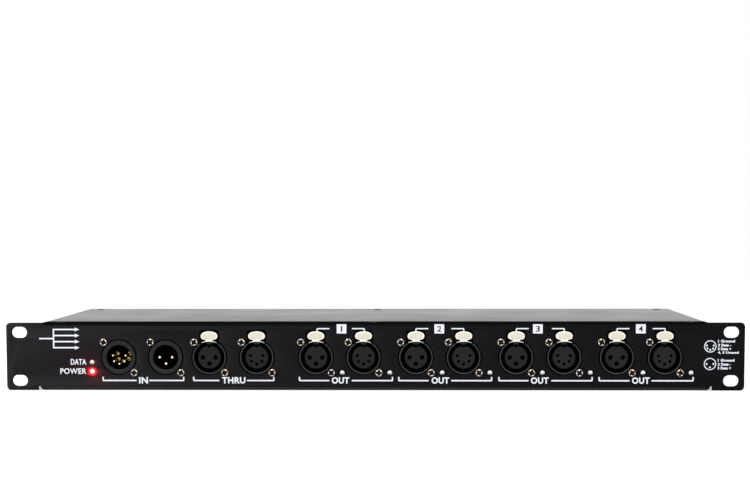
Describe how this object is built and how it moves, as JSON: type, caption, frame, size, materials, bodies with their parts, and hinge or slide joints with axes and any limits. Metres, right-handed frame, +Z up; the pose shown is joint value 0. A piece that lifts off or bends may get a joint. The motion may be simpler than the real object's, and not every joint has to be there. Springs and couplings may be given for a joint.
{
  "type": "dmx splitter",
  "caption": "Rack-mount data splitter for stage lighting: black folded-steel box with rack ears, input, through and output sockets with latch tabs, status lamps, cover, mains inlet and switch.",
  "frame": {"origin": "middle of the underside of the whole box of the part", "axes": "+X to the right as seen from the front, +Y towards the rear wall, +Z up; the front panel faces -Y"},
  "size_m": [0.4826, 0.1456, 0.0448],
  "materials": {
    "chassis": "black fine-textured powder coat, satin",
    "cover": "black powder coat, satin, pale at a grazing view",
    "socket_shell": "dark grey, satin",
    "insert": "dark grey moulding, satin",
    "latch": "warm nickel plating, satin",
    "pins": "gold plated contacts in a black carrier",
    "lamp_clear": "clear lens, unlit",
    "lamp_red": "red lens, lit",
    "board": "green solder mask",
    "ferrite": "grey ferrite with taped winding",
    "capacitor": "dark sleeve over an aluminium can",
    "heatsink": "plain extruded",
    "ribbon": "grey flat cable",
    "lead": "black sleeving",
    "earth_lead": "green and yellow insulation",
    "steel": "zinc plated",
    "fitting": "black moulding",
    "fuse": "glass tube with nickel caps",
    "rocker": "black, slightly glossy"
  },
  "bodies": {
    "chassis": {"chassis_tray": "chassis", "top_cover": "cover", "power_lamp": "lamp_red", "signal_lamp": "lamp_clear", "connector_board": "board", "power_board": "board", "supply_transformer": "ferrite", "smoothing_capacitor": "capacitor", "heatsink": "heatsink", "ribbon_cable": "ribbon", "mains_lead": "lead", "earth_lead": "earth_lead", "earth_stud": "steel", "mains_inlet": "fitting", "switch_body": "fitting", "in_5pin_shell": "socket_shell", "in_5pin_pins": "pins", "in_3pin_shell": "socket_shell", "in_3pin_pins": "pins", "thru_3pin_shell": "socket_shell", "thru_3pin_insert": "insert", "thru_5pin_shell": "socket_shell", "thru_5pin_insert": "insert", "out1_3pin_shell": "socket_shell", "out1_3pin_insert": "insert", "out1_5pin_shell": "socket_shell", "out1_5pin_insert": "insert", "out2_3pin_shell": "socket_shell", "out2_3pin_insert": "insert", "out2_5pin_shell": "socket_shell", "out2_5pin_insert": "insert", "out3_3pin_shell": "socket_shell", "out3_3pin_insert": "insert", "out3_5pin_shell": "socket_shell", "out3_5pin_insert": "insert", "out4_3pin_shell": "socket_shell", "out4_3pin_insert": "insert", "out4_5pin_shell": "socket_shell", "out4_5pin_insert": "insert", "out1_3pin_lamp": "lamp_clear", "out1_5pin_lamp": "lamp_clear", "out2_3pin_lamp": "lamp_clear", "out2_5pin_lamp": "lamp_clear", "out3_3pin_lamp": "lamp_clear", "out3_5pin_lamp": "lamp_clear", "out4_3pin_lamp": "lamp_clear", "out4_5pin_lamp": "lamp_clear"},
    "thru_3pin_latch_tab": {"thru_3pin_latch": "latch"},
    "thru_5pin_latch_tab": {"thru_5pin_latch": "latch"},
    "out1_3pin_latch_tab": {"out1_3pin_latch": "latch"},
    "out1_5pin_latch_tab": {"out1_5pin_latch": "latch"},
    "out2_3pin_latch_tab": {"out2_3pin_latch": "latch"},
    "out2_5pin_latch_tab": {"out2_5pin_latch": "latch"},
    "out3_3pin_latch_tab": {"out3_3pin_latch": "latch"},
    "out3_5pin_latch_tab": {"out3_5pin_latch": "latch"},
    "out4_3pin_latch_tab": {"out4_3pin_latch": "latch"},
    "out4_5pin_latch_tab": {"out4_5pin_latch": "latch"},
    "drawer": {"fuse_drawer": "fitting", "mains_fuse": "fuse"},
    "rocker": {"switch_rocker": "rocker"}
  },
  "joints": [
    {"name": "thru_3pin_latch_press", "type": "hinge", "parent": "chassis", "child": "thru_3pin_latch_tab", "pos_m": [-0.1076, -0.06617, 0.03165], "axis": [1, 0, 0], "range_deg": [-7, 0], "stiffness_Nm_per_rad": 0.02, "springref_deg": 11.46},
    {"name": "thru_5pin_latch_press", "type": "hinge", "parent": "chassis", "child": "thru_5pin_latch_tab", "pos_m": [-0.07646, -0.06617, 0.03165], "axis": [1, 0, 0], "range_deg": [-7, 0], "stiffness_Nm_per_rad": 0.02, "springref_deg": 11.46},
    {"name": "out1_3pin_latch_press", "type": "hinge", "parent": "chassis", "child": "out1_3pin_latch_tab", "pos_m": [-0.03763, -0.06617, 0.03165], "axis": [1, 0, 0], "range_deg": [-7, 0], "stiffness_Nm_per_rad": 0.02, "springref_deg": 11.46},
    {"name": "out1_5pin_latch_press", "type": "hinge", "parent": "chassis", "child": "out1_5pin_latch_tab", "pos_m": [-0.00649, -0.06617, 0.03165], "axis": [1, 0, 0], "range_deg": [-7, 0], "stiffness_Nm_per_rad": 0.02, "springref_deg": 11.46},
    {"name": "out2_3pin_latch_press", "type": "hinge", "parent": "chassis", "child": "out2_3pin_latch_tab", "pos_m": [0.02771, -0.06617, 0.03165], "axis": [1, 0, 0], "range_deg": [-7, 0], "stiffness_Nm_per_rad": 0.02, "springref_deg": 11.46},
    {"name": "out2_5pin_latch_press", "type": "hinge", "parent": "chassis", "child": "out2_5pin_latch_tab", "pos_m": [0.05885, -0.06617, 0.03165], "axis": [1, 0, 0], "range_deg": [-7, 0], "stiffness_Nm_per_rad": 0.02, "springref_deg": 11.46},
    {"name": "out3_3pin_latch_press", "type": "hinge", "parent": "chassis", "child": "out3_3pin_latch_tab", "pos_m": [0.09305, -0.06617, 0.03165], "axis": [1, 0, 0], "range_deg": [-7, 0], "stiffness_Nm_per_rad": 0.02, "springref_deg": 11.46},
    {"name": "out3_5pin_latch_press", "type": "hinge", "parent": "chassis", "child": "out3_5pin_latch_tab", "pos_m": [0.12419, -0.06617, 0.03165], "axis": [1, 0, 0], "range_deg": [-7, 0], "stiffness_Nm_per_rad": 0.02, "springref_deg": 11.46},
    {"name": "out4_3pin_latch_press", "type": "hinge", "parent": "chassis", "child": "out4_3pin_latch_tab", "pos_m": [0.15839, -0.06617, 0.03165], "axis": [1, 0, 0], "range_deg": [-7, 0], "stiffness_Nm_per_rad": 0.02, "springref_deg": 11.46},
    {"name": "out4_5pin_latch_press", "type": "hinge", "parent": "chassis", "child": "out4_5pin_latch_tab", "pos_m": [0.18953, -0.06617, 0.03165], "axis": [1, 0, 0], "range_deg": [-7, 0], "stiffness_Nm_per_rad": 0.02, "springref_deg": 11.46},
    {"name": "fuse_drawer_slide", "type": "slide", "parent": "chassis", "child": "drawer", "axis": [0, 1, 0], "range_m": [0, 0.018]},
    {"name": "switch_rocker_tilt", "type": "hinge", "parent": "chassis", "child": "rocker", "pos_m": [-0.1272, 0.06683, 0.0222], "axis": [1, 0, 0], "range_deg": [-24, 0]}
  ]
}
